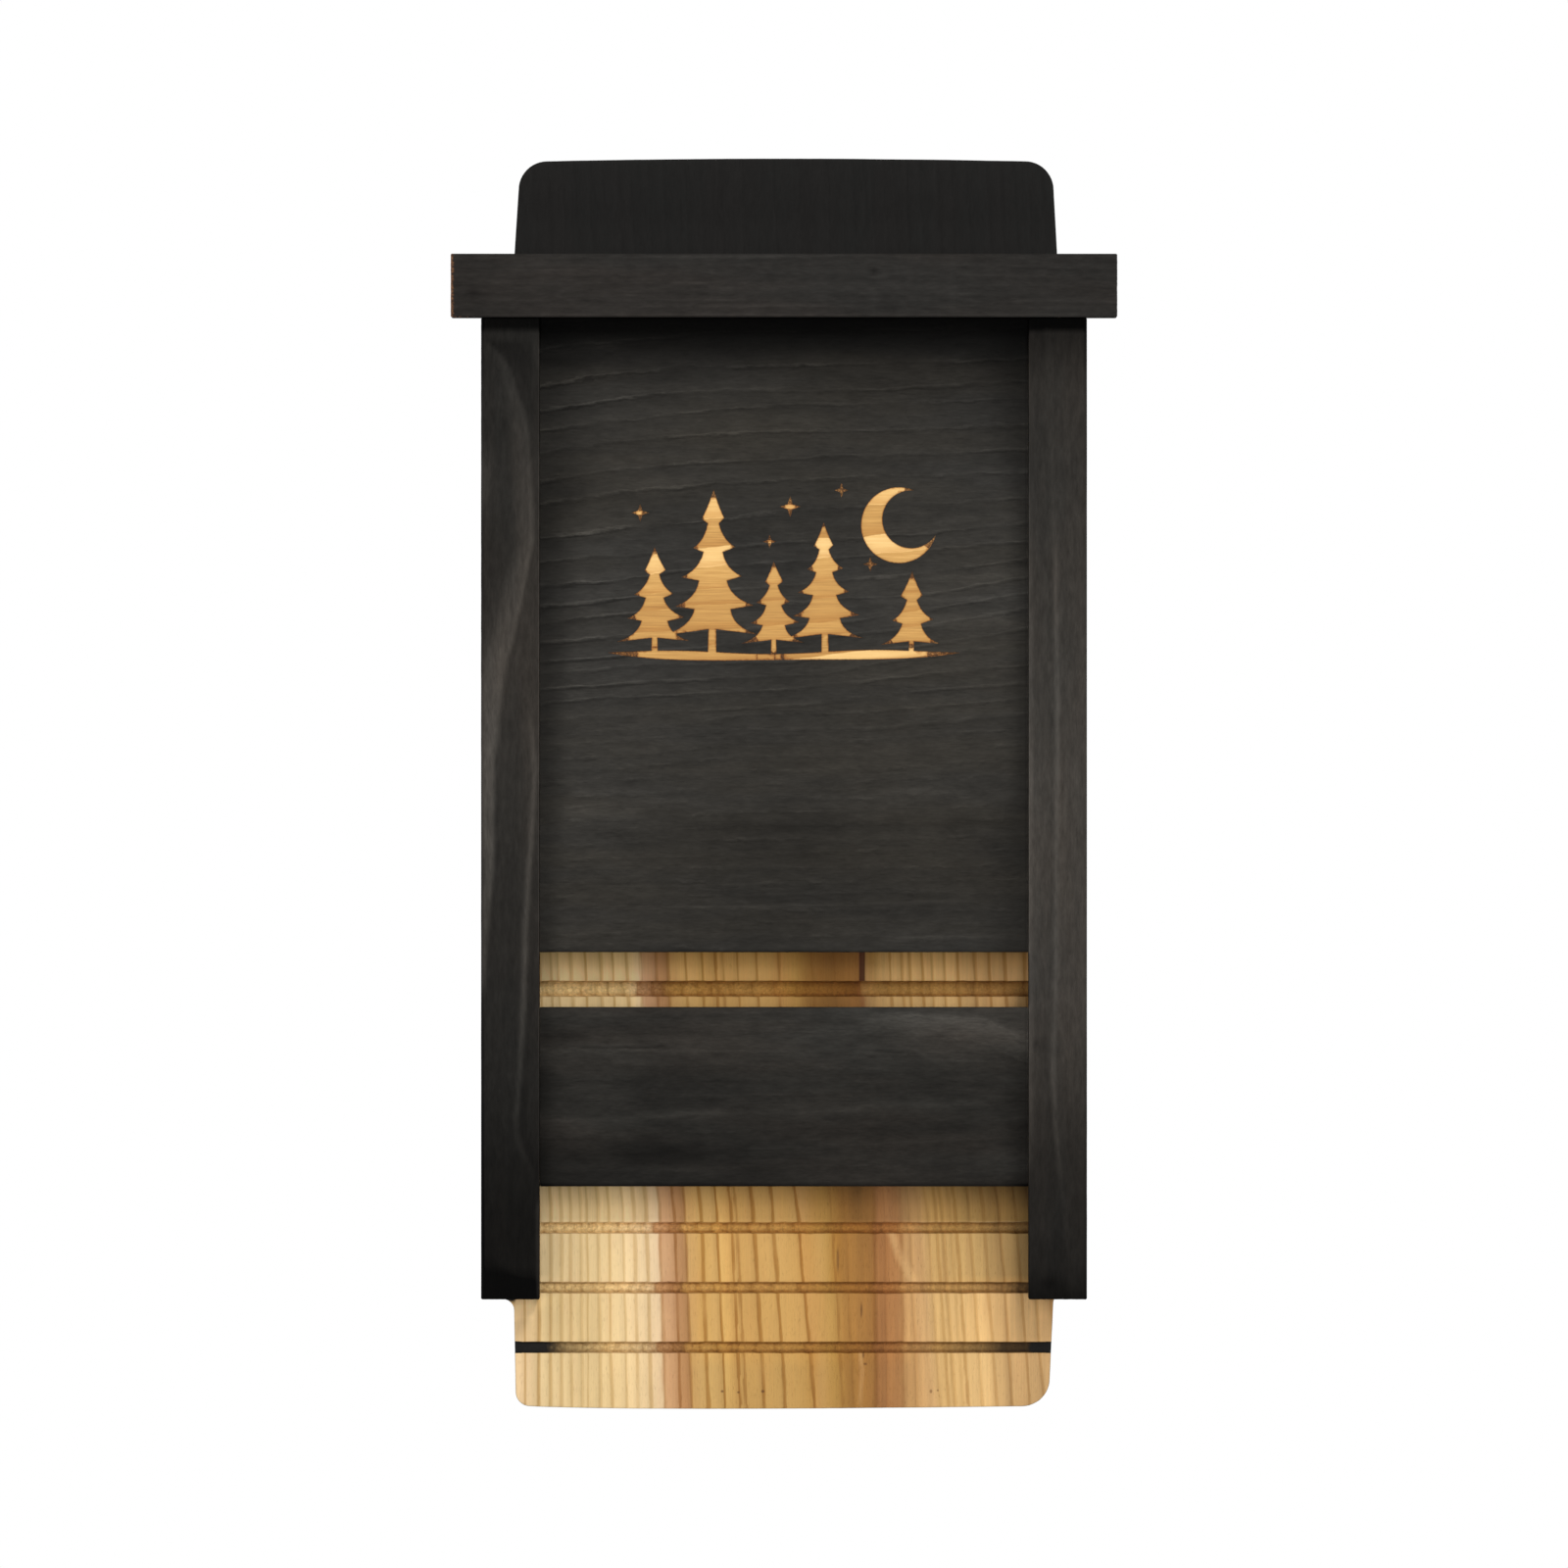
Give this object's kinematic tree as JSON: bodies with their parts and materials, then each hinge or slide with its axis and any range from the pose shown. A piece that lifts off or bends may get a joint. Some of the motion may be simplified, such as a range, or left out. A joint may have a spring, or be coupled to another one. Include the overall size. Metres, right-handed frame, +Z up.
{
  "type": "bat box",
  "caption": "Wooden single-chamber bat box with grooved landing board, side rails, front panels with a vent slot and a square-edged roof.",
  "frame": {"origin": "centre of the back board's back face, which lies on the wall", "axes": "+Z up along the board, +Y into the wall (the front faces -Y), +X to the right as seen from the front"},
  "size_m": [0.3244, 0.084, 0.6097],
  "materials": {
    "natural_cedar": "bare sawn cedar, its head, edges and back stained black",
    "stained_cedar": "black water-based stain, matte, with the grain showing through",
    "screw_steel": "coated exterior screw"
  },
  "bodies": {
    "root": {"back_board": "natural_cedar", "left_rail": "stained_cedar", "right_rail": "stained_cedar", "upper_front_panel": "stained_cedar", "lower_front_panel": "stained_cedar", "roof": "stained_cedar", "left_rear_screw_1": "screw_steel", "left_rear_screw_2": "screw_steel", "left_rear_screw_3": "screw_steel", "left_rear_screw_4": "screw_steel", "left_roof_screw_1": "screw_steel", "left_roof_screw_2": "screw_steel", "left_upper_panel_screw_1": "screw_steel", "left_upper_panel_screw_2": "screw_steel", "left_upper_panel_screw_3": "screw_steel", "left_lower_panel_screw_1": "screw_steel", "left_lower_panel_screw_2": "screw_steel", "right_rear_screw_1": "screw_steel", "right_rear_screw_2": "screw_steel", "right_rear_screw_3": "screw_steel", "right_rear_screw_4": "screw_steel", "right_roof_screw_1": "screw_steel", "right_roof_screw_2": "screw_steel", "right_upper_panel_screw_1": "screw_steel", "right_upper_panel_screw_2": "screw_steel", "right_upper_panel_screw_3": "screw_steel", "right_lower_panel_screw_1": "screw_steel", "right_lower_panel_screw_2": "screw_steel"}
  },
  "joints": []
}
